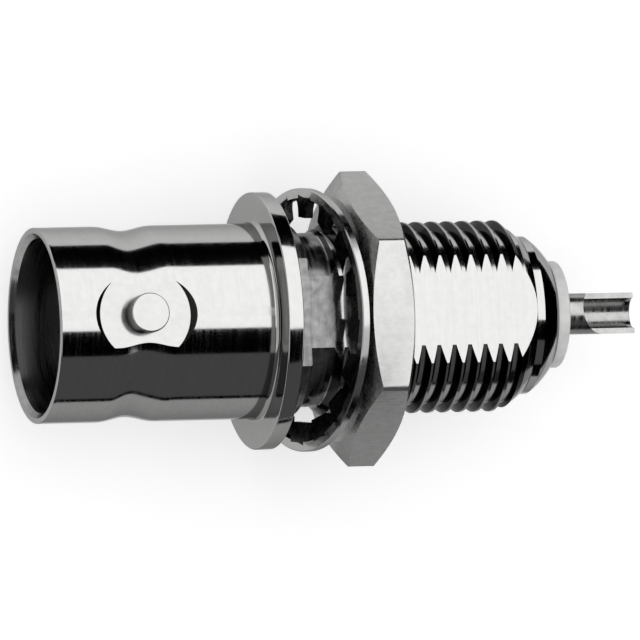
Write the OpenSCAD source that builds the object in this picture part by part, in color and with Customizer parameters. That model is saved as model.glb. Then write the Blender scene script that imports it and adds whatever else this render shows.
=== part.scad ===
/* [Barrel] */
// Outer diameter of the mating barrel
barrel_d = 9.65; // [9.3:0.05:9.9]
// Bore that takes the outer contact of the plug
socket_d = 8.1; // [7.8:0.05:8.3]
// Depth of that bore from the mouth
socket_depth = 8.4; // [7:0.1:9.5]
// Length from the mouth to the flange
barrel_len = 11.15; // [10.5:0.05:13]
// Inner diameter of the rim at the mouth
mouth_d = 9.1; // [8.9:0.05:9.3]
// Chamfer inside the rim
mouth_chamfer = 0.25; // [0.1:0.01:0.35]
// Length of the tapered lead-in from the mouth to the full bore
lead_len = 1.2; // [0.6:0.1:2]
// Rounding of the outer rim at the mouth
rim_round = 0.06; // [0.03:0.01:0.1]

/* [Bayonet lugs] */
// Diameter of a lug
lug_d = 1.96; // [1.7:0.02:2.2]
// Distance over both lugs
lug_span = 11.04; // [10.6:0.02:11.4]
// Distance from the mouth to the centre of the lugs
lug_setback = 4.37; // [3.9:0.01:5.2]
// Bevel around the free end of a lug
lug_bevel = 0.09; // [0.04:0.01:0.2]
// Diameter of the round seat milled under each lug
seat_d = 4.61; // [3.6:0.05:5]
// Distance over the two milled seats
seat_across = 9.08; // [8.9:0.02:9.3]
// Depth of the two hollows turned between the lugs
waist_depth = 0.24; // [0.1:0.02:0.35]
// Length of those hollows along the barrel
waist_len = 2.5; // [1.6:0.1:3.2]

/* [Flange] */
// Thickness of the flange
flange_t = 0.8; // [0.6:0.05:2]
// Chamfer along both edges of the flange
flange_edge = 0.07; // [0.03:0.01:0.15]
// Fillet where the barrel meets the flange
barrel_fillet = 0.22; // [0.1:0.02:0.4]

/* [Shank] */
// Major diameter of the panel thread
thread_d = 9.46; // [9.3:0.02:9.6]
// Pitch of the panel thread
thread_pitch = 0.79375; // [0.7:0.01:0.9]
// Full-diameter land behind the flange
land_len = 1.03; // [0.6:0.01:1.4]
// Undercut between the land and the thread
relief_len = 1.22; // [0.9:0.01:1.5]
// Distance from the flange to the end of the thread
shank_len = 11.7; // [10.5:0.1:14]
// Distance from the axis to the flat along the shank
flat_height = 3.91; // [3.8:0.01:4.3]

/* [Rear end] */
// Diameter of the neck behind the thread
neck_d = 7.66; // [7.4:0.02:7.8]
// Length of the taper from the thread to the neck
taper_len = 1.15; // [0.8:0.05:1.6]
// Length of the neck
neck_len = 0.3; // [0.2:0.05:1]
// Diameter of the end of the rolled lip
lip_d = 5.7; // [5.6:0.05:6]
// Length of the rolled lip
lip_len = 1.05; // [0.8:0.05:1.4]
// How far the lip is rounded: 0 leaves a straight cone
lip_round = 0.36; // [0:0.02:0.6]

/* [Insulator] */
// Diameter of the insulator in front of and behind its collar
insulator_d = 5.28; // [5:0.02:5.4]
// Diameter of the post inside the mating bore
post_d = 4.76; // [4.5:0.02:4.9]
// Distance from the mouth to the front of the post
post_setback = 3.4; // [3:0.1:4.5]
// Diameter of the collar held by the rolled lip
collar_d = 6.4; // [6.2:0.05:6.6]
// Length of the collar
collar_len = 5; // [3:0.1:7]
// How far the insulator stands out of the lip
insulator_out = 0.66; // [0.3:0.02:1.2]

/* [Contact] */
// Diameter of the contact
contact_d = 2.03; // [1.9:0.01:2.1]
// Bore of the socket at the front, with a pin in it
pin_bore_d = 1.38; // [1.3:0.01:1.5]
// Depth of that bore
pin_bore_depth = 5; // [4:0.1:6]
// Distance from the front of the post to the front of the contact
contact_setback = 0.2; // [0.1:0.05:0.5]
// Width of the saw cuts in the socket
saw_cut = 0.22; // [0.15:0.01:0.3]
// Length of the saw cuts
saw_len = 3.8; // [3:0.1:4]
// Diameter of the ring that holds the contact in the insulator
barb_d = 2.7; // [2.4:0.05:3]
// Length of that ring
barb_len = 1.4; // [1:0.1:2]
// How far the solder cup stands out of the insulator
cup_len = 4.09; // [3.5:0.02:6]
// Bore of the solder cup
cup_bore_d = 1.48; // [1.3:0.02:1.6]
// Depth of that bore
cup_bore_depth = 3.5; // [3:0.1:4]
// Length of the open half of the cup
cup_open_len = 2.92; // [2:0.02:3]
// Diameter of the cutter that opened the cup
cutter_d = 2.26; // [2.2:0.02:2.6]
// Sideways offset of that cutter
cutter_offset = 0.12; // [0:0.01:0.15]

/* [Lock washer] */
// How much wider the lock washer is than the flats of the nut
washer_over = 0.3; // [0.1:0.05:1]
// Width of its plain ring
washer_ring = 0.54; // [0.4:0.02:0.8]
// Diameter inside the teeth
washer_hole_d = 10.1; // [10.06:0.02:10.4]
// Thickness of the sheet
washer_t = 0.42; // [0.3:0.02:0.5]
// Number of teeth
washer_teeth = 16; // [12:1:18]
// Width of a tooth at its root
tooth_w = 1.7; // [1.2:0.05:1.9]
// Width of a tooth at its tip
tooth_tip_w = 1.15; // [0.8:0.05:1.4]
// Twist of each tooth out of the sheet
tooth_twist = 12; // [6:1:18]
// Lean of the loose washer against the nut
washer_lean = 11.5; // [8:0.5:12]

/* [Nut] */
// Distance across the flats of the nut, and diameter of the flange it lies level with
nut_flats = 12.7; // [12:0.1:14]
// Thickness of the nut
nut_t = 2.37; // [2:0.05:3]
// Diameter of the turned face at each end of the nut
nut_face_d = 12.06; // [11.6:0.02:12.2]
// Angle of the chamfers behind those faces
nut_chamfer = 23.5; // [15:0.5:30]
// Distance from the flange to the nut
nut_stand = 3.41; // [3.3:0.01:5]

/* [Hidden] */
$fn = 96;
press_gap = 0.01;      // round pressed pieces
run_gap = 0.05;        // nut on the thread of the shank
rest_gap = 0.02;       // loose pieces that lean on each other
tine_gap = 0.1;        // room for the tines to spread
over = 1;              // how far a cutter runs past what it cuts
lip_steps = 6;         // straight runs that draw the rolled lip
body_turn = -4.2;      // lugs and flat, turned about the axis from straight up
washer_turn = -85;     // first tooth of the washer, turned from straight up

barrel_r = barrel_d / 2;
mouth_r = mouth_d / 2;
socket_r = socket_d / 2;
lug_r = lug_d / 2;
seat_r = seat_d / 2;
seat_height = seat_across / 2;
flange_r = nut_flats / 2;
thread_r = thread_d / 2;
neck_r = neck_d / 2;
lip_r = lip_d / 2;
insulator_r = insulator_d / 2;
post_r = post_d / 2;
collar_r = collar_d / 2;
contact_r = contact_d / 2;
pin_bore_r = pin_bore_d / 2;
barb_r = barb_d / 2;
cup_bore_r = cup_bore_d / 2;
cutter_r = cutter_d / 2;
washer_r = (nut_flats + washer_over) / 2;
washer_hole_r = washer_hole_d / 2;
nut_face_r = nut_face_d / 2;

// stations along the axis, counted from the back of the flange towards the cable
flange_x = -flange_t;
mouth_x = flange_x - barrel_len;
socket_end_x = mouth_x + socket_depth;
lug_x = mouth_x + lug_setback;
relief_x = land_len + relief_len;
neck_x = shank_len + taper_len;
lip_x = neck_x + neck_len;
lip_end_x = lip_x + lip_len;
collar_x = lip_x - collar_len;
post_x = mouth_x + post_setback;
insulator_end_x = lip_end_x + insulator_out;
contact_x = post_x + contact_setback;
contact_end_x = insulator_end_x + cup_len;
barb_x = collar_x + (collar_len - barb_len) / 2;
cutter_x = contact_end_x - cup_open_len + cutter_r;

// a 60 degree thread, drawn as closed turns of its true section
crest_w = thread_pitch / 8;
thread_depth = 0.55 * thread_pitch;
flank_w = thread_depth * tan(30);
root_r = thread_r - thread_depth;
turns = 1 + floor((shank_len - relief_x - crest_w - flank_w) / thread_pitch);

// radius of the arc that turns each hollow between the lugs
waist_arc = (pow(waist_len / 2, 2) + pow(waist_depth, 2)) / (2 * waist_depth);

// the loose washer leans with its high side on the nut and its low side on the ground
ring_in_r = washer_r - washer_ring;
tooth_root_r = ring_in_r + washer_t / 2;
tooth_reach = tooth_w / 2 * sin(tooth_twist) + washer_t / 2 * cos(tooth_twist);
ring_lean_x = washer_r * sin(washer_lean) + washer_t / 2 * cos(washer_lean);
tooth_lean_x = tooth_root_r * sin(washer_lean) + tooth_reach * cos(washer_lean);
washer_x = nut_stand - rest_gap - max(ring_lean_x, tooth_lean_x);
washer_z = washer_r * cos(washer_lean) + washer_t / 2 * sin(washer_lean) + rest_gap - nut_flats / 2;

nut_corner_r = nut_flats / 2 / cos(30);
nut_bore_r = thread_r + run_gap;
nut_countersink = thread_depth / 2;

// a solid turned about the connector's axis from [radius, station] points
module turned(outline) {
    rotate([0, 90, 0]) rotate_extrude() polygon(outline);
}

// a round bar or a drill along the connector's axis
module rod(r, from_x, to_x) {
    translate([from_x, 0, 0]) rotate([0, 90, 0]) cylinder(r = r, h = to_x - from_x);
}

// one turn of thread, whose crest ends at the given station
function thread_turn(crest_end) = [
    [root_r, crest_end - crest_w - flank_w],
    [thread_r, crest_end - crest_w],
    [thread_r, crest_end],
    [root_r, crest_end + flank_w]
];

thread_outline = [
    for (i = [turns - 1:-1:1]) each thread_turn(shank_len - i * thread_pitch),
    [root_r, shank_len - crest_w - flank_w],
    [thread_r, shank_len - crest_w],
    [thread_r, shank_len]
];

barrel_outline = [
    [0, mouth_x],
    [barrel_r - rim_round, mouth_x],
    [barrel_r - rim_round * 0.3, mouth_x + rim_round * 0.3],
    [barrel_r, mouth_x + rim_round],
    [barrel_r, flange_x - barrel_fillet],
    [barrel_r + barrel_fillet * 0.3, flange_x - barrel_fillet * 0.3],
    [barrel_r + barrel_fillet, flange_x]
];

flange_outline = [
    [flange_r - flange_edge, flange_x],
    [flange_r, flange_x + flange_edge],
    [flange_r, -flange_edge],
    [flange_r - flange_edge, 0]
];

land_outline = [
    [thread_r, 0],
    [thread_r, land_len],
    [root_r, land_len]
];

// the lip is rolled over the collar, so it falls off more steeply towards its end
function lip_point(along) = [
    neck_r - (neck_r - lip_r) * along * (1 - lip_round * (1 - along)),
    lip_x + lip_len * along
];

rear_outline = [
    [neck_r, neck_x],
    for (i = [0:lip_steps]) lip_point(i / lip_steps),
    [0, lip_end_x]
];

module shell_bore() {
    rod(socket_r, mouth_x - over, socket_end_x);
    turned([
        [0, mouth_x - over],
        [mouth_r + over, mouth_x - over],
        [mouth_r - mouth_chamfer, mouth_x + mouth_chamfer],
        [socket_r, mouth_x + lead_len],
        [0, mouth_x + lead_len]
    ]);
    rod(insulator_r + press_gap, mouth_x, lip_end_x + over);
    rod(collar_r + press_gap, collar_x, lip_x);
}

// the round seat that a cutter with a bevelled edge leaves under a lug
module lug_seat() {
    translate([lug_x, 0, seat_height]) cylinder(r1 = seat_r, r2 = seat_r + over, h = over);
}

module lug() {
    top = lug_span / 2;
    root = (seat_height + socket_r) / 2;
    translate([lug_x, 0, root]) cylinder(r = lug_r, h = top - lug_bevel - root);
    translate([lug_x, 0, top - lug_bevel]) cylinder(r1 = lug_r, r2 = lug_r - lug_bevel, h = lug_bevel);
}

// a hollow turned off centre, so that it fades out before it reaches the lugs
module waist() {
    translate([lug_x, waist_depth, 0])
        rotate([0, 90, 0]) rotate_extrude() translate([barrel_r + waist_arc, 0]) circle(r = waist_arc);
}

module shank_flat() {
    width = 2 * flange_r;
    translate([0, -flange_r, flat_height]) cube([lip_end_x + over, width, over]);
}

module body() {
    color("silver") rotate([body_turn, 0, 0]) {
        difference() {
            turned(concat(barrel_outline, flange_outline, land_outline, thread_outline, rear_outline));
            shell_bore();
            for (side = [0, 180]) rotate([side, 0, 0]) {
                lug_seat();
                waist();
            }
            shank_flat();
        }
        for (side = [0, 180]) rotate([side, 0, 0]) lug();
    }
}

// white bush, pushed in from the rear against a step and held by the rolled lip
module insulator() {
    front_chamfer = 0.15;
    color("whitesmoke") difference() {
        turned([
            [0, post_x],
            [post_r - front_chamfer, post_x],
            [post_r, post_x + front_chamfer],
            [post_r, socket_end_x],
            [insulator_r, socket_end_x],
            [insulator_r, collar_x],
            [collar_r, collar_x],
            [collar_r, lip_x],
            [insulator_r, lip_x],
            [insulator_r, insulator_end_x],
            [0, insulator_end_x]
        ]);
        rod(contact_r + press_gap, post_x - over, insulator_end_x + over);
        rod(contact_r + tine_gap, post_x - over, contact_x + pin_bore_depth);
        rod(barb_r, barb_x, barb_x + barb_len);
    }
}

// the half of the solder cup that is cut away, with the round nose of its cutter
module cup_opening() {
    width = 2 * contact_d;
    translate([cutter_x, cutter_offset, 0]) cylinder(r = cutter_r, h = contact_r + over);
    translate([cutter_x, -contact_d, 0]) cube([cup_open_len + over, width, contact_r + over]);
}

// one saw cut across the front, which parts two of the four tines
module saw_slot() {
    across = 2 * contact_d;
    translate([contact_x - over, -saw_cut / 2, -contact_d]) cube([saw_len + over, saw_cut, across]);
}

module contact() {
    front_chamfer = 0.12;
    color("gainsboro") rotate([body_turn, 0, 0]) difference() {
        turned([
            [0, contact_x],
            [contact_r - front_chamfer, contact_x],
            [contact_r, contact_x + front_chamfer],
            [contact_r, barb_x],
            [barb_r, barb_x + barb_len - front_chamfer],
            [barb_r, barb_x + barb_len],
            [contact_r, barb_x + barb_len],
            [contact_r, contact_end_x],
            [0, contact_end_x]
        ]);
        rod(pin_bore_r, contact_x - over, contact_x + pin_bore_depth);
        for (turn = [45, 135]) rotate([turn, 0, 0]) saw_slot();
        rod(cup_bore_r, contact_end_x - cup_bore_depth, contact_end_x + over);
        cup_opening();
    }
}

module washer_tooth() {
    outline = [
        [-tooth_tip_w / 2, washer_hole_r],
        [tooth_tip_w / 2, washer_hole_r],
        [tooth_w / 2, tooth_root_r],
        [-tooth_w / 2, tooth_root_r]
    ];
    rotate([0, 0, -tooth_twist]) rotate([90, 0, 90])
        linear_extrude(height = washer_t, center = true) polygon(outline);
}

module lock_washer() {
    color("darkgray") translate([washer_x, 0, washer_z]) rotate([0, washer_lean, 0]) {
        difference() {
            rod(washer_r, -washer_t / 2, washer_t / 2);
            rod(ring_in_r, -washer_t, washer_t);
        }
        for (i = [0:washer_teeth - 1])
            rotate([washer_turn + i * 360 / washer_teeth, 0, 0]) washer_tooth();
    }
}

// the turned blank that leaves a chamfer on every corner of the nut
module nut_chamfers() {
    edge_r = nut_corner_r + over;
    drop = (edge_r - nut_face_r) * tan(nut_chamfer);
    turned([
        [0, 0],
        [nut_face_r, 0],
        [edge_r, drop],
        [edge_r, nut_t - drop],
        [nut_face_r, nut_t],
        [0, nut_t]
    ]);
}

module nut_bore() {
    mouth_r = nut_bore_r + nut_countersink;
    rod(nut_bore_r, -over, nut_t + over);
    turned([[0, -over], [mouth_r + over, -over], [nut_bore_r, nut_countersink], [0, nut_countersink]]);
    turned([[0, nut_t + over], [mouth_r + over, nut_t + over], [nut_bore_r, nut_t - nut_countersink],
        [0, nut_t - nut_countersink]]);
}

module hex_nut() {
    color("lightgray") translate([nut_stand, 0, 0]) difference() {
        intersection() {
            rotate([30, 0, 0]) rotate([0, 90, 0]) cylinder(r = nut_corner_r, h = nut_t, $fn = 6);
            nut_chamfers();
        }
        nut_bore();
    }
}

body();
insulator();
contact();
lock_washer();
hex_nut();
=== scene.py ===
import math

import bpy
from mathutils import Matrix, Vector


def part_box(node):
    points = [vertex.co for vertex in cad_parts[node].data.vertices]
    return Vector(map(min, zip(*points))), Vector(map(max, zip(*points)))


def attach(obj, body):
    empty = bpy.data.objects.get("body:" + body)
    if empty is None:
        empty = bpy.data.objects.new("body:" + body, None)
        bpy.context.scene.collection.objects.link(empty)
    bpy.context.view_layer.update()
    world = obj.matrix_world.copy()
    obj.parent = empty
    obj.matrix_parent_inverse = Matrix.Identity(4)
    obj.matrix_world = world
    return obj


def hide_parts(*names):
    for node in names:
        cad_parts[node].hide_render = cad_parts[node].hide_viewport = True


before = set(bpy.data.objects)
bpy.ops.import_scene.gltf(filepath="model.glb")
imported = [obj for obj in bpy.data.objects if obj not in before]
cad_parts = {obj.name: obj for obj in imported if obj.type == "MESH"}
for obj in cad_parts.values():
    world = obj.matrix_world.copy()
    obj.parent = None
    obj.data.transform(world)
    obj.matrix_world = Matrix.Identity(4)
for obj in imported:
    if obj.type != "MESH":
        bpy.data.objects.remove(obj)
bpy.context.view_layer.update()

mm = 0.001

# stations along the axis in millimetres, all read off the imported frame
bodyLow, bodyHigh = (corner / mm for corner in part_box("body"))
bushLow, bushHigh = (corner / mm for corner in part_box("insulator"))
contactLow, contactHigh = (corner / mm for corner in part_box("contact"))
washerLow, washerHigh = (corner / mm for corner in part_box("lock_washer"))
nutLow, nutHigh = (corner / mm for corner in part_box("hex_nut"))
tableHeight = min(bodyLow.z, nutLow.z)

bodyTurn = math.radians(-4.2)  # lugs and flat stand a little off straight up
bodyUp = Vector((0, -math.sin(bodyTurn), math.cos(bodyTurn)))

threadForm = {
    "majorRadius": 4.73,
    "pitch": 0.79375,
    "depthShare": 0.55,
    "crestAtSide": 0.595,  # station of a crest where the helix crosses +Y
    "stepsPerTurn": 96,
    "turnsBefore": 3,  # the helix starts this far before its crest at the side
}
threadDepth = threadForm["depthShare"] * threadForm["pitch"]


# the pieces are modelled in millimetres and scaled to metres when finished

def clearSelection():
    if bpy.context.object and bpy.context.object.mode != "OBJECT":
        bpy.ops.object.mode_set(mode="OBJECT")
    bpy.ops.object.select_all(action="DESELECT")


def selectOnly(piece):
    clearSelection()
    piece.select_set(True)
    bpy.context.view_layer.objects.active = piece


def inEditMode(piece, work):
    selectOnly(piece)
    bpy.ops.object.mode_set(mode="EDIT")
    bpy.ops.mesh.select_all(action="SELECT")
    work()
    bpy.ops.object.mode_set(mode="OBJECT")


def pickParts(piece, kind, parts, wanted):
    # leaves the piece in edit mode, with only the wanted vertices, edges or faces selected
    selectOnly(piece)
    bpy.ops.object.mode_set(mode="EDIT")
    bpy.ops.mesh.select_mode(type=kind)
    bpy.ops.mesh.select_all(action="DESELECT")
    bpy.ops.object.mode_set(mode="OBJECT")
    for part in parts:
        part.select = wanted(part)
    bpy.ops.object.mode_set(mode="EDIT")


def pickVertices(piece, wanted):
    pickParts(piece, "VERT", piece.data.vertices, lambda vertex: wanted(vertex.co))


def leaveEditMode():
    bpy.ops.mesh.select_mode(type="VERT")
    bpy.ops.object.mode_set(mode="OBJECT")


def drawOutline(name, points):
    clearSelection()
    bpy.ops.mesh.primitive_plane_add(size=1)
    piece = bpy.context.object
    piece.name = name
    bpy.ops.object.mode_set(mode="EDIT")
    bpy.ops.mesh.merge(type="CENTER")  # one vertex is left, and it draws the outline
    bpy.ops.transform.translate(value=(points[0][0], 0, points[0][1]))
    for here, there in zip(points, points[1:]):
        step = (there[0] - here[0], 0, there[1] - here[1])
        bpy.ops.mesh.extrude_vertices_move(TRANSFORM_OT_translate={"value": step})
    bpy.ops.object.mode_set(mode="OBJECT")
    return piece


def closeSkin():
    bpy.ops.mesh.select_all(action="SELECT")
    bpy.ops.mesh.remove_doubles(threshold=0.0005)
    bpy.ops.mesh.normals_make_consistent(inside=False)


def turned(name, points, steps=192):
    piece = drawOutline(name, points)

    def spinRound():
        bpy.ops.mesh.spin(steps=steps, angle=2 * math.pi, center=(0, 0, 0), axis=(1, 0, 0))
        closeSkin()

    inEditMode(piece, spinRound)
    return piece


def arc(centre, radius, fromAngle, toAngle, count):
    turns = [math.radians(fromAngle + (toAngle - fromAngle) * i / count) for i in range(count + 1)]
    return [(centre[0] + radius * math.cos(t), centre[1] + radius * math.sin(t)) for t in turns]


def stretch(start, end, count):
    return [tuple(a + (b - a) * i / count for a, b in zip(start, end)) for i in range(count)]


def applyPlace():
    bpy.ops.object.transform_apply(location=True, rotation=True, scale=True)


def addBlock(size, place):
    clearSelection()
    bpy.ops.mesh.primitive_cube_add(size=1)
    block = bpy.context.object
    block.scale = size
    block.location = place
    applyPlace()
    return block


def addRod(radius, height, place):
    clearSelection()
    bpy.ops.mesh.primitive_cylinder_add(vertices=96, radius=radius, depth=height, location=place)
    applyPlace()
    return bpy.context.object


def combine(piece, other, operation):
    selectOnly(piece)
    cut = piece.modifiers.new(operation.lower(), "BOOLEAN")
    cut.operation = operation
    cut.solver = "MANIFOLD"
    cut.object = other
    bpy.ops.object.modifier_apply(modifier=cut.name)
    bpy.data.objects.remove(other)


def turnAboutAxis(piece, angle):
    piece.rotation_euler = (angle, 0, 0)
    selectOnly(piece)
    bpy.ops.object.transform_apply(location=False, rotation=True, scale=False)


def turnedCopy(piece, angle):
    copy = piece.copy()
    copy.data = piece.data.copy()
    bpy.context.collection.objects.link(copy)
    turnAboutAxis(copy, angle)
    return copy


def finishPiece(piece, sharpAngle):
    inEditMode(piece, lambda: bpy.ops.mesh.dissolve_degenerate(threshold=0.0005))
    selectOnly(piece)
    applyPlace()
    piece.scale = (mm, mm, mm)
    applyPlace()
    bpy.ops.object.shade_smooth_by_angle(angle=math.radians(sharpAngle))


def threadedRod(name, fromX, toX, grow=0.0):
    pitch = threadForm["pitch"]
    crest = pitch / 8 + 2 * grow
    flank = threadDepth * math.tan(math.radians(30))
    outer = threadForm["majorRadius"] + grow
    root = outer - threadDepth
    first = threadForm["crestAtSide"] - threadForm["turnsBefore"] * pitch
    rod = drawOutline(name, [
        (first - crest / 2 - flank, root),
        (first - crest / 2, outer),
        (first + crest / 2, outer),
        (first + crest / 2 + flank, root),
        (first - crest / 2 - flank + pitch, root),
    ])
    turnAboutAxis(rod, math.radians(-90))  # the outline is drawn along +Z, and the helix starts at +Y
    selectOnly(rod)
    helix = rod.modifiers.new("helix", "SCREW")
    helix.axis = "X"
    helix.angle = 2 * math.pi
    helix.screw_offset = pitch
    helix.iterations = math.ceil((toX - first) / pitch) + 2
    helix.steps = threadForm["stepsPerTurn"]
    helix.render_steps = threadForm["stepsPerTurn"]
    helix.use_merge_vertices = True
    helix.merge_threshold = 0.0005
    bpy.ops.object.modifier_apply(modifier=helix.name)

    def trimEnds():
        bpy.ops.mesh.bisect(plane_co=(fromX, 0, 0), plane_no=(1, 0, 0), use_fill=True, clear_inner=True)
        bpy.ops.mesh.select_all(action="SELECT")
        bpy.ops.mesh.bisect(plane_co=(toX, 0, 0), plane_no=(1, 0, 0), use_fill=True, clear_outer=True)
        closeSkin()

    inEditMode(rod, trimEnds)
    return rod


bodyForm = {
    "barrelRadius": 4.825,
    "socketRadius": 4.05,
    "socketDepth": 8.4,
    "mouthRadius": 4.55,
    "mouthChamfer": 0.25,
    "leadLength": 1.2,
    "rimRound": 0.06,
    "lugRadius": 0.98,
    "lugHeight": 5.52,
    "lugSetback": 4.37,
    "lugBevel": 0.09,
    "seatRadius": 2.305,
    "seatHeight": 4.54,
    "waistDepth": 0.24,
    "waistLength": 3.1,
    "waistSetback": 4.49,
    "waistFade": 1.4,  # under the lugs the hollow runs out inside the milled seats
    "flangeThickness": 0.8,
    "flangeEdge": 0.07,
    "barrelFillet": 0.22,
    "landLength": 1.03,
    "landEdge": 0.04,
    "reliefEnd": 2.25,
    "threadEnd": 11.7,
    "flatHeight": 3.91,
    "neckRadius": 3.9,
    "neckStart": 12.77,
    "neckEnd": 13.15,
    "lipEnd": 14.2,
    "lipRound": 0.36,
    "lipRadius": 2.85,
    "collarRadius": 3.21,
    "collarStart": 8.15,
    "bushRadius": 2.65,
}


def runOutTaper():
    # how much radius the thread's run-out loses in a millimetre
    fall = threadForm["majorRadius"] - bodyForm["neckRadius"]
    return fall / (bodyForm["neckStart"] - bodyForm["threadEnd"])


def bodyBlank():
    form = bodyForm
    mouth, front = bodyLow.x, -form["flangeThickness"]
    barrel, socket, bush = form["barrelRadius"], form["socketRadius"], form["bushRadius"]
    flange, edge = bodyHigh.z, form["flangeEdge"]
    fillet, rim, chamfer = form["barrelFillet"], form["rimRound"], form["mouthChamfer"]
    socketEnd = mouth + form["socketDepth"]
    major = threadForm["majorRadius"]
    root = major - threadDepth
    core = root - 0.05  # under the thread, which is joined on afterwards
    coreEnd = form["threadEnd"] + (major - core) / runOutTaper()
    land, landEdge, reliefEnd = form["landLength"], form["landEdge"], form["reliefEnd"]
    neck, neckStart, neckEnd = form["neckRadius"], form["neckStart"], form["neckEnd"]
    collar, collarStart = form["collarRadius"], form["collarStart"]
    outline = [(mouth + form["leadLength"], socket)]
    outline += [(mouth + chamfer, form["mouthRadius"] - chamfer), (mouth, form["mouthRadius"])]
    outline += arc((mouth + rim, barrel - rim), rim, 180, 90, 7)
    outline += stretch((mouth + rim + 0.15, barrel), (front - fillet, barrel), 90)
    outline += arc((front - fillet, barrel + fillet), fillet, -90, 0, 7)
    outline += stretch((front, barrel + fillet + 0.05), (front, flange - edge), 5)
    outline += arc((front + edge, flange - edge), edge, 180, 90, 6)
    outline += arc((-edge, flange - edge), edge, 90, 0, 6)
    outline += [(0, flange - 0.5), (0, major + 0.3), (0, major)]
    outline += stretch((2 * landEdge, major), (land - landEdge, major), 4)
    outline += [(land - landEdge, major), (land, major - landEdge)]
    outline += [(land, root), (reliefEnd, root), (reliefEnd + 0.06, core), (coreEnd, core)]
    outline += stretch((coreEnd, core), (neckStart, neck), 2)[1:]
    outline += [(neckStart, neck), (neckEnd, neck)]
    for i in range(1, 13):  # the lip, rolled over the bush
        along = i / 12
        fall = (neck - form["lipRadius"]) * along * (1 - form["lipRound"] * (1 - along))
        outline += [(neckEnd + (form["lipEnd"] - neckEnd) * along, neck - fall)]
    outline += [(bodyHigh.x, bush), (neckEnd, bush), (neckEnd, collar), (collarStart, collar)]
    outline += [(collarStart, bush), (socketEnd, bush), (socketEnd, socket)]
    outline += stretch((socketEnd, socket), outline[0], 12)[1:]
    outline += [outline[0]]
    return turned("turned_body", outline, steps=256)


def bodyThread():
    form = bodyForm
    major, depth, taper = threadForm["majorRadius"], threadDepth, runOutTaper()
    start = form["reliefEnd"] - 0.05
    end = form["threadEnd"] + (depth + 0.04) / taper
    rod = threadedRod("thread", start, end)
    inside = form["neckRadius"] - 0.1
    envelope = turned("thread_envelope", [
        (start - 1, inside),
        (start - 1, major - depth - 0.02),
        (start, major - depth - 0.02),
        (start + depth, major + 0.001),
        (form["threadEnd"], major + 0.001),
        (end + 0.2, major - (end + 0.2 - form["threadEnd"]) * taper),
        (end + 0.2, inside),
        (start - 1, inside),
    ], steps=192)
    combine(rod, envelope, "INTERSECT")
    return rod


def lugSeatCutter():
    form = bodyForm
    clearSelection()
    lugX = bodyLow.x + form["lugSetback"]
    bpy.ops.mesh.primitive_cone_add(vertices=96, radius1=form["seatRadius"], radius2=form["seatRadius"] + 1,
                                    depth=1, location=(lugX, 0, form["seatHeight"] + 0.5))
    applyPlace()
    return bpy.context.object


def pinchWaist(body):
    form = bodyForm
    middle = bodyLow.x + form["waistSetback"]
    half, depth = form["waistLength"] / 2, form["waistDepth"]
    selectOnly(body)
    for side in (1, -1):
        hollow = body.vertex_groups.new(name="hollow")
        for vertex in body.data.vertices:
            x, y, z = vertex.co
            onSkin = math.hypot(y, z) > form["barrelRadius"] - 0.01
            if onSkin and side * y > 0 and abs(x - middle) < half:
                sink = (1 + math.cos(math.pi * (x - middle) / half)) / 2
                hollow.add([vertex.index], sink * min(1, side * y / form["waistFade"]), "REPLACE")
        pinch = body.modifiers.new("pinch", "DISPLACE")
        pinch.direction = "Y"
        pinch.vertex_group = hollow.name
        pinch.mid_level = 0
        pinch.strength = -side * depth
        bpy.ops.object.modifier_apply(modifier=pinch.name)
        body.vertex_groups.clear()


def bayonetLug():
    form = bodyForm
    root = (form["seatHeight"] + form["socketRadius"]) / 2  # within the barrel's wall
    lug = addRod(form["lugRadius"], form["lugHeight"] - root,
                 (bodyLow.x + form["lugSetback"], 0, (root + form["lugHeight"]) / 2))
    pickVertices(lug, lambda place: place.z > form["lugHeight"] - 0.01)
    bpy.ops.mesh.bevel(offset=form["lugBevel"], segments=6, profile=0.5)
    bpy.ops.object.mode_set(mode="OBJECT")
    return lug


def shankFlatCutter():
    # from the back of the flange to past the rear end
    length = bodyHigh.x + 1
    return addBlock((length, 14, 2), (length / 2, 0, bodyForm["flatHeight"] + 1))


def splitFlat(body):
    # an edge across the flat, so that its plain start can have the milled finish and its painted shade
    pickParts(body, "FACE", body.data.polygons, lambda face: face.center.x > 0 and isOnFlat(face.normal))
    bpy.ops.mesh.bisect(plane_co=(bodyForm["reliefEnd"], 0, 0), plane_no=(1, 0, 0))
    leaveEditMode()


def isOnFlat(normal):
    return abs(normal.dot(bodyUp)) > 0.999


def isOnLug(place, normal):
    along = place.x - bodyLow.x - bodyForm["lugSetback"]
    fromMiddle = math.hypot(along, place.cross(bodyUp).x)
    return fromMiddle < bodyForm["lugRadius"] + 0.02 and abs(normal.dot(bodyUp)) < 0.3


def isOnSeatWall(place, normal):
    along = place.x - bodyLow.x - bodyForm["lugSetback"]
    radius = math.hypot(place.y, place.z)
    return (abs(along) < bodyForm["seatRadius"] + 0.4 and abs(normal.x) > 0.4
            and bodyForm["seatHeight"] - 0.1 < radius < bodyForm["barrelRadius"] + 0.05
            and not isOnLug(place, normal))


def makeBody():
    body = bodyBlank()
    pinchWaist(body)
    turnAboutAxis(body, bodyTurn)
    combine(body, bodyThread(), "UNION")
    flat = shankFlatCutter()
    turnAboutAxis(flat, bodyTurn)
    combine(body, flat, "DIFFERENCE")
    seat, lug = lugSeatCutter(), bayonetLug()
    for side in (bodyTurn, bodyTurn + math.pi):
        combine(body, turnedCopy(seat, side), "DIFFERENCE")
        combine(body, turnedCopy(lug, side), "UNION")
    bpy.data.objects.remove(seat)
    bpy.data.objects.remove(lug)
    splitFlat(body)
    finishPiece(body, 19)
    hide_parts("body")
    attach(body, "connector")
    print("body", len(body.data.polygons), "faces")
    return body


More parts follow.
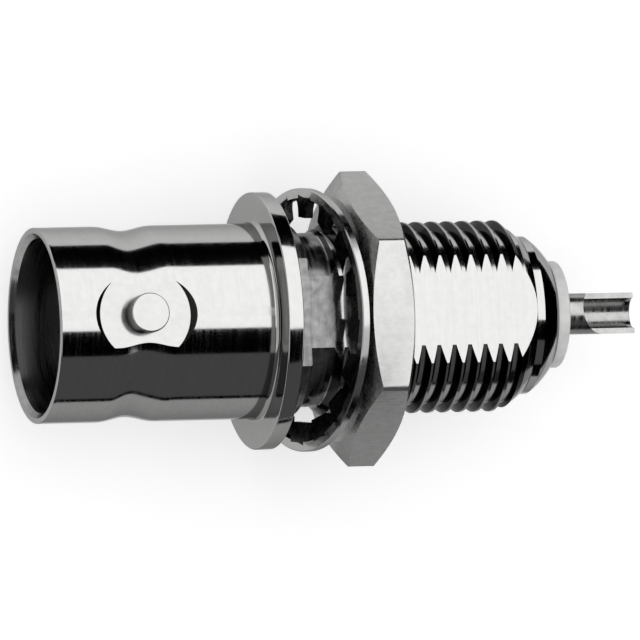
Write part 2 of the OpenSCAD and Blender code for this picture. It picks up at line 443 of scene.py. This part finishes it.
bushForm = {
    "radius": 2.64,
    "postRadius": 2.38,
    "collarRadius": 3.2,
    "boreRadius": 1.025,
    "tineRoom": 1.115,
    "edge": 0.09,
    "postEdge": 0.15,
}


def makeInsulator():
    form = bushForm
    edge, postEdge = form["edge"], form["postEdge"]
    socketEnd = bodyLow.x + bodyForm["socketDepth"]
    lip, collar = bodyForm["neckEnd"], bodyForm["collarStart"]
    tinesEnd = contactLow.x + contactForm["pinDepth"]
    outline = [(bushLow.x, form["tineRoom"]), (bushLow.x, form["postRadius"] - postEdge)]
    outline += arc((bushLow.x + postEdge, form["postRadius"] - postEdge), postEdge, 180, 90, 4)[1:]
    outline += [(socketEnd, form["postRadius"]), (socketEnd, form["radius"]), (collar, form["radius"])]
    outline += [(collar, form["collarRadius"]), (lip, form["collarRadius"]), (lip, form["radius"])]
    outline += stretch((lip + 0.1, form["radius"]), (bushHigh.x - edge, form["radius"]), 6)
    outline += arc((bushHigh.x - edge, form["radius"] - edge), edge, 90, 0, 4)
    outline += [(bushHigh.x, form["boreRadius"] + 0.05), (bushHigh.x - 0.05, form["boreRadius"])]
    outline += [(tinesEnd, form["boreRadius"]), (tinesEnd, form["tineRoom"]), (bushLow.x, form["tineRoom"])]
    bush = turned("insulator_bush", outline, steps=128)
    finishPiece(bush, 35)
    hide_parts("insulator")
    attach(bush, "connector")
    print("insulator", len(bush.data.polygons), "faces")
    return bush


contactForm = {
    "radius": 1.015,
    "pinRadius": 0.69,
    "pinDepth": 5,
    "sawCut": 0.22,
    "sawLength": 3.8,
    "cupRadius": 0.74,
    "cupDepth": 3.5,
    "openLength": 2.92,
    "cutterRadius": 1.13,
    "cutterOffset": 0.12,
    "cutterHeight": 3,
    "noseRound": 0.12,
    "pinLead": 0.1,
    "drillPoint": 0.35,
    "cupEdge": 0.03,
}


def makeContact():
    form = contactForm
    front, back = contactLow.x, contactHigh.x
    radius, pin, cup = form["radius"], form["pinRadius"], form["cupRadius"]
    pinEnd, cupEnd = front + form["pinDepth"], back - form["cupDepth"]
    lead, corner, edge = form["pinLead"], form["noseRound"], form["cupEdge"]
    outline = [(pinEnd + form["drillPoint"], 0), (pinEnd, pin)]
    outline += stretch((pinEnd, pin), (front + lead, pin), 8)[1:]
    outline += [(front + lead, pin), (front, pin + lead), (front, radius - corner)]
    outline += arc((front + corner, radius - corner), corner, 180, 90, 4)[1:]
    outline += stretch((front + 0.5, radius), (back - edge, radius), 40)
    outline += [(back - edge, radius), (back, radius - edge), (back, cup + 0.02), (back - 0.02, cup)]
    outline += stretch((back - 0.3, cup), (cupEnd, cup), 12)
    outline += [(cupEnd, cup), (cupEnd - form["drillPoint"], 0)]
    contact = turned("turned_contact", outline, steps=96)
    length = form["sawLength"] + 1
    for turn in (45, 135):
        saw = addBlock((length, form["sawCut"], 4 * radius), (front + form["sawLength"] - length / 2, 0, 0))
        turnAboutAxis(saw, math.radians(turn))
        combine(contact, saw, "DIFFERENCE")
    cutter, tall = back - form["openLength"] + form["cutterRadius"], form["cutterHeight"]
    nose = addRod(form["cutterRadius"], tall, (cutter, form["cutterOffset"], tall / 2))
    combine(contact, nose, "DIFFERENCE")
    opening = addBlock((2 * tall, 2 * tall, tall), (cutter + tall, 0, tall / 2))
    combine(contact, opening, "DIFFERENCE")
    turnAboutAxis(contact, bodyTurn)
    finishPiece(contact, 30)
    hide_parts("contact")
    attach(contact, "connector")
    print("contact", len(contact.data.polygons), "faces")
    return contact


washerForm = {
    "radius": 6.5,
    "ringWidth": 0.54,
    "holeRadius": 5.05,
    "thickness": 0.42,
    "teeth": 16,
    "toothShare": 0.96,  # of the ring's thickness
    "toothWidth": 1.7,
    "tipWidth": 1.15,
    "twist": 12,
    "lean": 11.5,
    "firstTooth": -85,
    "edge": 0.05,
    "slide": 0.08,  # its untwisted tooth roots let it lie closer to the nut
}


def washerTooth():
    form = washerForm
    root = form["radius"] - form["ringWidth"] * 0.5
    inner = form["holeRadius"]
    rows = 7
    tooth = addBlock((form["thickness"] * form["toothShare"], form["tipWidth"], root - inner),
                     (0, 0, (root + inner) / 2))
    for row in range(1, rows):  # cross cuts, so that the tooth can be twisted
        inEditMode(tooth, lambda: bpy.ops.mesh.bisect(
            plane_co=(0, 0, inner + (root - inner) * row / rows), plane_no=(0, 0, 1)))
    for row in range(rows + 1):
        share = 1 - row / rows
        height = inner + (root - inner) * row / rows
        width = share + form["toothWidth"] / form["tipWidth"] * (1 - share)
        pickVertices(tooth, lambda place: abs(place.z - height) < 0.02)
        bpy.ops.transform.resize(value=(1, width, 1), center_override=(0, 0, height))
        bpy.ops.transform.rotate(value=math.radians(form["twist"]) * min(1, share * 2), orient_axis="Z",
                                 center_override=(0, 0, 0))
        bpy.ops.object.mode_set(mode="OBJECT")
    return tooth


def makeWasher():
    form = washerForm
    half, edge = form["thickness"] / 2, form["edge"]
    inner = form["radius"] - form["ringWidth"]
    outline = [(-half, inner + edge), (-half, form["radius"] - edge), (-half + edge, form["radius"])]
    outline += [(half - edge, form["radius"]), (half, form["radius"] - edge), (half, inner + edge)]
    outline += [(half - edge, inner), (-half + edge, inner), (-half, inner + edge)]
    washer = turned("toothed_washer", outline, steps=198)
    tooth = washerTooth()
    for i in range(form["teeth"]):
        turn = math.radians(form["firstTooth"] + i * 360 / form["teeth"])
        combine(washer, turnedCopy(tooth, turn), "UNION")
    bpy.data.objects.remove(tooth)
    washer.rotation_euler = (0, math.radians(form["lean"]), 0)
    selectOnly(washer)
    applyPlace()
    washer.location = ((washerLow.x + washerHigh.x) / 2 + form["slide"], 0, (washerLow.z + washerHigh.z) / 2)
    finishPiece(washer, 30)
    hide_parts("lock_washer")
    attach(washer, "washer")
    print("washer", len(washer.data.polygons), "faces")
    return washer


nutForm = {
    "faceRadius": 6.03,
    "chamferAngle": 23.5,
    "edgeRound": 0.16,
    "threadGrow": 0.04,
    "countersink": 0.3,
    "mouthRoom": 0.05,
}


def makeNut():
    form = nutForm
    flats = nutHigh.z
    corner = flats / math.cos(math.radians(30))
    thick = nutHigh.x - nutLow.x
    clearSelection()
    bpy.ops.mesh.primitive_cylinder_add(vertices=6, radius=corner, depth=thick + 2,
                                        location=((nutLow.x + nutHigh.x) / 2, 0, 0),
                                        rotation=(0, math.pi / 2, 0))
    nut = bpy.context.object
    nut.name = "panel_nut"
    applyPlace()

    def runsAlong(edge):
        start, end = (nut.data.vertices[i].co for i in edge.vertices)
        return abs(end.x - start.x) > 1

    pickParts(nut, "EDGE", nut.data.edges, runsAlong)
    bpy.ops.mesh.bevel(offset=form["edgeRound"], segments=4, profile=0.5)
    leaveEditMode()
    edgeRadius = corner + 0.5
    drop = (edgeRadius - form["faceRadius"]) * math.tan(math.radians(form["chamferAngle"]))
    blank = turned("nut_blank", [
        (nutLow.x, 0),
        (nutLow.x, form["faceRadius"]),
        (nutLow.x + drop, edgeRadius),
        (nutHigh.x - drop, edgeRadius),
        (nutHigh.x, form["faceRadius"]),
        (nutHigh.x, 0),
    ], steps=192)
    combine(nut, blank, "INTERSECT")
    tap = threadedRod("tap", nutLow.x - 0.7, nutHigh.x + 0.7, grow=form["threadGrow"])
    combine(nut, tap, "DIFFERENCE")
    mouth = threadForm["majorRadius"] + form["mouthRoom"]
    sink = form["countersink"]
    for face, out in ((nutLow.x, -1), (nutHigh.x, 1)):
        cone = turned("countersink", [
            (face + out, 0),
            (face + out, mouth + 1),
            (face, mouth),
            (face - out * sink * 2, mouth - sink * 2),
            (face - out * sink * 2, 0),
        ], steps=128)
        combine(nut, cone, "DIFFERENCE")
    finishPiece(nut, 20)
    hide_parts("hex_nut")
    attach(nut, "nut")
    print("nut", len(nut.data.polygons), "faces")
    return nut


pieces = {
    "body": makeBody(),
    "insulator": makeInsulator(),
    "contact": makeContact(),
    "washer": makeWasher(),
    "nut": makeNut(),
}
print("pieces modelled")


brightPlating = {
    "colour": (0.46, 0.46, 0.455),
    "edgeTone": 0.5,  # tone at grazing angles
    "mottle": 0.05,  # share by which the tone varies
    "roughness": 0.1,
    "spread": 0.35,
    "markStretch": (1, 0.04, 0.04),  # turning marks run round the axis
    "markScale": 9000,
    "markDepth": 0.0000003,
    "grainScale": 14000,
    "grainDepth": 0.0000002,
    "mottleScale": 2600,
}

threadPlating = {
    **brightPlating,
    "roughness": 0.14,
    "paintedShadeTones": ((4.31, 1), (4.34, 0.1), (4.69, 0.12), (4.72, 0.9)),  # distance from the axis, tone: painted shade on the flanks, lighter at root and crest
}

# the milled start of the shank, rougher with marks across, and darker as painted shade from the flange
millShadePlating = {
    **brightPlating,
    "colour": (0.3, 0.3, 0.3),
    "mottle": 0.4,
    "roughness": 0.24,
    "spread": 0.5,
    "markStretch": (1, 0.06, 0.06),
    "markScale": 5200,
    "markDepth": 0.0000016,
}

seatPlating = {
    **brightPlating,
    "roughness": 0.15,
    "mottle": 0.06,
    "markStretch": (0.5, 1, 1),
    "markScale": 3000,
    "markDepth": 0.0000004,
}

# painted shade: the bore is darker than the same plating outside
boreShadePlating = {
    **brightPlating,
    "colour": (0.1, 0.1, 0.1),
    "roughness": 0.3,
}

# painted shade on the walls of the lugs' seats
seatWallShadePlating = {
    **brightPlating,
    "colour": (0.06, 0.06, 0.06),
    "edgeTone": 0.1,
    "roughness": 0.3,
}

# painted shade: the mouth's chamfer darker than the bright plating
chamferShadePlating = {
    **brightPlating,
    "colour": (0.38, 0.38, 0.375),
    "mottle": 0.2,
    "roughness": 0.16,
}

nutPlating = {
    **brightPlating,
    "colour": (0.5, 0.5, 0.495),
    "mottle": 0.12,
    "roughness": 0.28,
    "spread": 0.2,
    "markStretch": (0.08, 1, 1),  # drawn flats, so the marks run along the axis
    "markScale": 5000,
    "markDepth": 0.0000004,
    "grainDepth": 0.0000014,
}

washerPlating = {
    **brightPlating,
    "roughness": 0.16,
    "markStretch": (1, 1, 1),
    "markScale": 3500,
    "markDepth": 0.0000006,
}

# painted shade on the teeth and the inner part of the washer's ring
toothShadePlating = {
    **washerPlating,
    "colour": (0.09, 0.09, 0.09),
    "edgeTone": 0.1,
    "roughness": 0.3,
}

cupPlating = {
    **brightPlating,
    "colour": (0.42, 0.42, 0.415),
    "mottle": 0.2,
    "roughness": 0.25,
    "markStretch": (1, 0.1, 0.1),
    "markScale": 7000,
    "markDepth": 0.000001,
}

lugPlating = {
    **brightPlating,
    "roughness": 0.15,
    "paintedShadeTones": ((4.62, 0.06), (5.35, 0.9)),  # painted shade, darker towards its root
}

fluoropolymer = {
    "colour": (0.86, 0.86, 0.85),
    "mottle": 0.14,
    "mottleScale": 1500,
    "roughness": 0.5,
    "grainDepth": 0.000004,
}


def newFinish(name):
    material = bpy.data.materials.new(name)
    material.use_nodes = True
    nodes = material.node_tree.nodes
    links = material.node_tree.links
    place = nodes.new("ShaderNodeTexCoord").outputs["Object"]
    return material, nodes, links, place


def noiseFrom(nodes, links, place, scale, detail):
    noise = nodes.new("ShaderNodeTexNoise")
    noise.inputs["Scale"].default_value = scale
    noise.inputs["Detail"].default_value = detail
    links.new(place, noise.inputs["Vector"])
    return noise.outputs["Fac"]


def spreadOver(nodes, links, value, low, high, fromLow=0.3, fromHigh=0.7):
    spread = nodes.new("ShaderNodeMapRange")
    spread.inputs["From Min"].default_value = fromLow
    spread.inputs["From Max"].default_value = fromHigh
    spread.inputs["To Min"].default_value = low
    spread.inputs["To Max"].default_value = high
    links.new(value, spread.inputs["Value"])
    return spread.outputs["Result"]


def tonedColour(nodes, links, colour, shade):
    toned = nodes.new("ShaderNodeMix")
    toned.data_type = "RGBA"
    toned.inputs["A"].default_value = (0, 0, 0, 1)
    toned.inputs["B"].default_value = (*colour, 1)
    links.new(shade, toned.inputs["Factor"])
    return toned.outputs["Result"]


def multiplied(nodes, links, first, second):
    product = nodes.new("ShaderNodeMath")
    product.operation = "MULTIPLY"
    links.new(first, product.inputs[0])
    links.new(second, product.inputs[1])
    return product.outputs["Value"]


def paintShadeByRadius(nodes, links, place, paintedShadeTones):
    # painted shade, darker deep in the thread's flanks and at the foot of the lugs
    split = nodes.new("ShaderNodeSeparateXYZ")
    links.new(place, split.inputs["Vector"])
    across = nodes.new("ShaderNodeCombineXYZ")
    links.new(split.outputs["Y"], across.inputs["Y"])
    links.new(split.outputs["Z"], across.inputs["Z"])
    radius = nodes.new("ShaderNodeVectorMath")
    radius.operation = "LENGTH"
    links.new(across.outputs["Vector"], radius.inputs[0])
    inner, outer = paintedShadeTones[0][0] - 0.05, paintedShadeTones[-1][0] + 0.05
    tones = nodes.new("ShaderNodeValToRGB")
    links.new(spreadOver(nodes, links, radius.outputs["Value"], 0, 1, inner * mm, outer * mm),
              tones.inputs["Fac"])
    stops = tones.color_ramp.elements
    while len(stops) < len(paintedShadeTones):
        stops.new(0.5)
    for stop, (at, tone) in zip(stops, paintedShadeTones):
        stop.position = (at - inner) / (outer - inner)
        stop.color = (tone, tone, tone, 1)
    return tones.outputs["Color"]


def platedFinish(name, look):
    material, nodes, links, place = newFinish(name)
    shader = nodes["Principled BSDF"]
    shader.inputs["Metallic"].default_value = 1
    shader.inputs["Specular Tint"].default_value = (*[look["edgeTone"]] * 3, 1)
    alongMarks = nodes.new("ShaderNodeMapping")
    alongMarks.inputs["Scale"].default_value = look["markStretch"]
    links.new(place, alongMarks.inputs["Vector"])
    marks = noiseFrom(nodes, links, alongMarks.outputs["Vector"], look["markScale"], 3)
    grain = noiseFrom(nodes, links, place, look["grainScale"], 2)
    mottle = noiseFrom(nodes, links, place, look["mottleScale"], 5)
    rough = look["roughness"]
    links.new(spreadOver(nodes, links, marks, rough * (1 - look["spread"]), rough * (1 + look["spread"])),
              shader.inputs["Roughness"])
    shade = multiplied(nodes, links, spreadOver(nodes, links, mottle, 1 - look["mottle"], 1),
                       spreadOver(nodes, links, marks, 1 - look["mottle"], 1))
    if "paintedShadeTones" in look:
        shade = multiplied(nodes, links, shade, paintShadeByRadius(nodes, links, place, look["paintedShadeTones"]))
    links.new(tonedColour(nodes, links, look["colour"], shade), shader.inputs["Base Color"])
    markBump = nodes.new("ShaderNodeBump")
    markBump.inputs["Distance"].default_value = look["markDepth"]
    links.new(marks, markBump.inputs["Height"])
    grainBump = nodes.new("ShaderNodeBump")
    grainBump.inputs["Distance"].default_value = look["grainDepth"]
    links.new(grain, grainBump.inputs["Height"])
    links.new(markBump.outputs["Normal"], grainBump.inputs["Normal"])
    links.new(grainBump.outputs["Normal"], shader.inputs["Normal"])
    return material


def whiteFinish(name, look):
    material, nodes, links, place = newFinish(name)
    shader = nodes["Principled BSDF"]
    shader.inputs["Roughness"].default_value = look["roughness"]
    mottle = noiseFrom(nodes, links, place, look["mottleScale"], 3)
    shade = spreadOver(nodes, links, mottle, 1 - look["mottle"], 1)
    links.new(tonedColour(nodes, links, look["colour"], shade), shader.inputs["Base Color"])
    bump = nodes.new("ShaderNodeBump")
    bump.inputs["Distance"].default_value = look["grainDepth"]
    links.new(mottle, bump.inputs["Height"])
    links.new(bump.outputs["Normal"], shader.inputs["Normal"])
    return material


def dress(piece, *finishes):
    piece.data.materials.clear()
    for finish in finishes:
        piece.data.materials.append(finish)


def dressFaces(piece, finish, wanted):
    slot = piece.data.materials.find(finish)
    for face in piece.data.polygons:
        if wanted(face.center / mm, face.normal):
            face.material_index = slot


def dressBody(body):
    form = bodyForm
    dress(body, platedFinish("bright_nickel", brightPlating), platedFinish("thread_nickel", threadPlating),
          platedFinish("milled_nickel_painted_shade", millShadePlating), platedFinish("seat_nickel", seatPlating),
          platedFinish("dull_bore_painted_shade", boreShadePlating), platedFinish("chamfer_painted_shade", chamferShadePlating),
          platedFinish("seat_wall_painted_shade", seatWallShadePlating), platedFinish("lug_nickel", lugPlating))
    threadStart, threadStop = form["reliefEnd"] - 0.05, form["threadEnd"] + 0.8
    socketEnd = bodyLow.x + form["socketDepth"]

    def radius(place):
        return math.hypot(place.y, place.z)

    # the distances from the axis lie between the inner walls and the outer skin
    # the thread, with painted shade on its flanks
    dressFaces(body, "thread_nickel", lambda place, normal: threadStart < place.x < threadStop
               and radius(place) > 4 and not isOnFlat(normal))
    # the milled start, with its painted shade
    dressFaces(body, "milled_nickel_painted_shade", lambda place, normal: 0 < place.x < form["reliefEnd"]
               and radius(place) < 4.8)
    dressFaces(body, "seat_nickel", lambda place, normal: place.x < -1 and isOnFlat(normal)
               and radius(place) > 4.4)
    # painted shade inside the socket's bore
    dressFaces(body, "dull_bore_painted_shade", lambda place, normal: bodyLow.x + 0.3 < place.x < socketEnd + 0.1
               and radius(place) < form["mouthRadius"] - 0.1)
    # painted shade on the mouth's chamfer
    dressFaces(body, "chamfer_painted_shade", lambda place, normal: place.x < bodyLow.x + form["mouthChamfer"]
               and radius(place) < form["mouthRadius"] - 0.02)
    # painted shade on the seat walls
    dressFaces(body, "seat_wall_painted_shade", isOnSeatWall)
    # the lugs, with painted shade towards their roots
    dressFaces(body, "lug_nickel", isOnLug)


def dressWasher(washer):
    dress(washer, platedFinish("washer_nickel", washerPlating), platedFinish("tooth_painted_shade", toothShadePlating))
    middle = (washerLow + washerHigh) / 2
    inner = washerForm["radius"] - 0.4
    # painted shade inside the washer's bright rim
    dressFaces(washer, "tooth_painted_shade", lambda place, normal: (place - middle).length < inner)


dressBody(pieces["body"])
dressWasher(pieces["washer"])
dress(pieces["nut"], platedFinish("satin_nickel", nutPlating))
dress(pieces["contact"], platedFinish("contact_nickel", cupPlating))
dress(pieces["insulator"], whiteFinish("white_fluoropolymer", fluoropolymer))
print("finishes on")


studioForm = {
    "floorColour": 0.7,
    "floorLift": 0.55,  # added where the floor is looked at, so that it reads as white
    "fillPower": 4.5,
    "fillHeight": 1.1,
    "fillSize": 1.2,
    "skyLight": 0.45,
    # cards that only mirrors see: the pale ones glow, and the black flags give the plating its dark edges
    "cardsAround": {  # angles from straight up towards +Y, distance, stretch along the axis, glow
        "softbox": (-9, 68, 0.3, -0.02, 0.34, 1.95),
        "card_over_mouth": (-30, 62, 0.34, -0.7, -0.14, 0.7),
        "flag_above": (-45, 45, 0.4, -0.03, 0.24, 0),
        "flag_right": (40, 100, 0.42, -0.03, 0.24, 0),
        "flag_left": (-100, -40, 0.42, -0.03, 0.24, 0),
    },
    "cardsStanding": {  # foot, the axis it runs along, length, height, glow
        "left_wall": ((0.1, -0.06), "X", 1.2, 0.0825, 0.11),
        "flag_beyond_mouth": ((-0.6, 0), "Y", 1, 0.22, 0),
        "flag_beyond_cup": ((0.9, 0), "Y", 1, 0.25, 0),
        "flag_low_left": ((0.1, -0.039), "X", 1.2, 0.0037, 0),
        "flag_low_right": ((0, 0.035), "X", 0.12, 0.0161, 0),
        "flag_low_cup": ((0.0275, 0), "Y", 0.12, 0.0184, 0),
    },
    "cardsLying": {  # middle, size, glow
        "table_card": ((0.01, -0.0228), (0.08, 0.0314), 0.53),
    },
}


def glowFinish(name, strength):
    material = bpy.data.materials.new(name)
    material.use_nodes = True
    nodes = material.node_tree.nodes
    nodes.clear()
    glow = nodes.new("ShaderNodeEmission")
    glow.inputs["Strength"].default_value = strength
    out = nodes.new("ShaderNodeOutputMaterial")
    material.node_tree.links.new(glow.outputs["Emission"], out.inputs["Surface"])
    return material


def studioCard(name, place, turn, size, strength):
    clearSelection()
    bpy.ops.mesh.primitive_plane_add(size=1)
    made = bpy.context.object
    made.name = name
    made.location = place
    made.rotation_euler = turn
    made.scale = (size[0], size[1], 1)
    made.data.materials.append(glowFinish(name, strength))
    made.visible_camera = False
    made.visible_shadow = False
    made.visible_diffuse = False


def cardAround(name, fromAngle, toAngle, distance, fromX, toX, strength):
    middle = math.radians((fromAngle + toAngle) / 2)
    width = 2 * distance * math.tan(math.radians((toAngle - fromAngle) / 2))
    place = ((fromX + toX) / 2, distance * math.sin(middle), distance * math.cos(middle))
    studioCard(name, place, (-middle, 0, 0), (toX - fromX, width), strength)


def cardStanding(name, foot, along, length, height, strength):
    place = (foot[0], foot[1], tableHeight * mm + height / 2)
    if along == "X":
        studioCard(name, place, (math.pi / 2, 0, 0), (length, height), strength)
    else:
        studioCard(name, place, (0, math.pi / 2, 0), (height, length), strength)


def cardLying(name, middle, size, strength):
    studioCard(name, (*middle, tableHeight * mm + 0.0001), (0, 0, 0), size, strength)


def makeCards():
    for name, card in studioForm["cardsAround"].items():
        cardAround(name, *card)
    for name, card in studioForm["cardsStanding"].items():
        cardStanding(name, *card)
    for name, card in studioForm["cardsLying"].items():
        cardLying(name, *card)


def paleWhereSeen(nodes, links, rays):
    # one where the camera, a mirror or a clear thing looks straight at it
    seen = rays.outputs["Is Camera Ray"]
    for kind in ("Is Glossy Ray", "Is Transmission Ray"):
        either = nodes.new("ShaderNodeMath")
        either.operation = "MAXIMUM"
        links.new(seen, either.inputs[0])
        links.new(rays.outputs[kind], either.inputs[1])
        seen = either.outputs["Value"]
    return seen


def makeFloor():
    clearSelection()
    bpy.ops.mesh.primitive_plane_add(size=6, location=(0, 0, tableHeight * mm))
    floor = bpy.context.object
    floor.name = "floor"
    material = bpy.data.materials.new("pale_floor")
    material.use_nodes = True
    nodes = material.node_tree.nodes
    links = material.node_tree.links
    shader = nodes["Principled BSDF"]
    shader.inputs["Base Color"].default_value = (*[studioForm["floorColour"]] * 3, 1)
    shader.inputs["Roughness"].default_value = 0.9
    shader.inputs["Specular IOR Level"].default_value = 0.0
    shader.inputs["Emission Color"].default_value = (1, 1, 1, 1)
    seen = paleWhereSeen(nodes, links, nodes.new("ShaderNodeLightPath"))
    lift = nodes.new("ShaderNodeMath")
    lift.operation = "MULTIPLY"
    lift.inputs[1].default_value = studioForm["floorLift"]
    links.new(seen, lift.inputs[0])
    links.new(lift.outputs["Value"], shader.inputs["Emission Strength"])
    floor.data.materials.append(material)


def makeWorld():
    world = bpy.data.worlds.new("studio")
    bpy.context.scene.world = world
    world.use_nodes = True
    nodes = world.node_tree.nodes
    links = world.node_tree.links
    background = nodes["Background"]
    background.inputs["Color"].default_value = (1, 1, 1, 1)
    rays = nodes.new("ShaderNodeLightPath")
    seen = paleWhereSeen(nodes, links, rays)
    level = nodes.new("ShaderNodeMath")
    level.operation = "MULTIPLY_ADD"
    level.inputs[1].default_value = studioForm["skyLight"]
    links.new(rays.outputs["Is Diffuse Ray"], level.inputs[0])
    links.new(seen, level.inputs[2])
    links.new(level.outputs["Value"], background.inputs["Strength"])


def makeFill():
    light = bpy.data.lights.new("fill", "AREA")
    light.shape = "SQUARE"
    light.size = studioForm["fillSize"]
    light.energy = studioForm["fillPower"]
    fill = bpy.data.objects.new("fill", light)
    fill.location = (0, 0, studioForm["fillHeight"])
    fill.visible_glossy = False
    fill.visible_camera = False
    bpy.context.scene.collection.objects.link(fill)


makeFloor()
makeWorld()
makeFill()
makeCards()
print("studio set")


viewForm = {
    "distance": 1.05,
    "frameWidth": 0.03157,
    "tiltToMouth": 16.8,
    "tiltToSide": 1.4,
    "roll": 1.27,
    "aim": (0.00271, -0.00002, 0),
}


def makeCamera():
    form = viewForm
    tilt, side, roll = (math.radians(form[key]) for key in ("tiltToMouth", "tiltToSide", "roll"))
    back = Vector((-math.sin(tilt), -math.cos(tilt) * math.sin(side), math.cos(tilt) * math.cos(side)))
    alongX = (Vector((1, 0, 0)) - back * back.x).normalized()
    upright = back.cross(alongX)
    right = alongX * math.cos(roll) - upright * math.sin(roll)
    up = alongX * math.sin(roll) + upright * math.cos(roll)
    data = bpy.data.cameras.new("camera")
    camera = bpy.data.objects.new("camera", data)
    bpy.context.scene.collection.objects.link(camera)
    data.sensor_width = 36
    data.lens = data.sensor_width * form["distance"] / form["frameWidth"]
    data.clip_start, data.clip_end = 0.01, 20
    turn = Matrix((right, up, back)).transposed()
    camera.matrix_world = Matrix.Translation(Vector(form["aim"]) + back * form["distance"]) @ turn.to_4x4()
    bpy.context.scene.camera = camera


makeCamera()
print("camera placed")
bpy.context.scene.view_settings.view_transform = "Standard"
clearSelection()
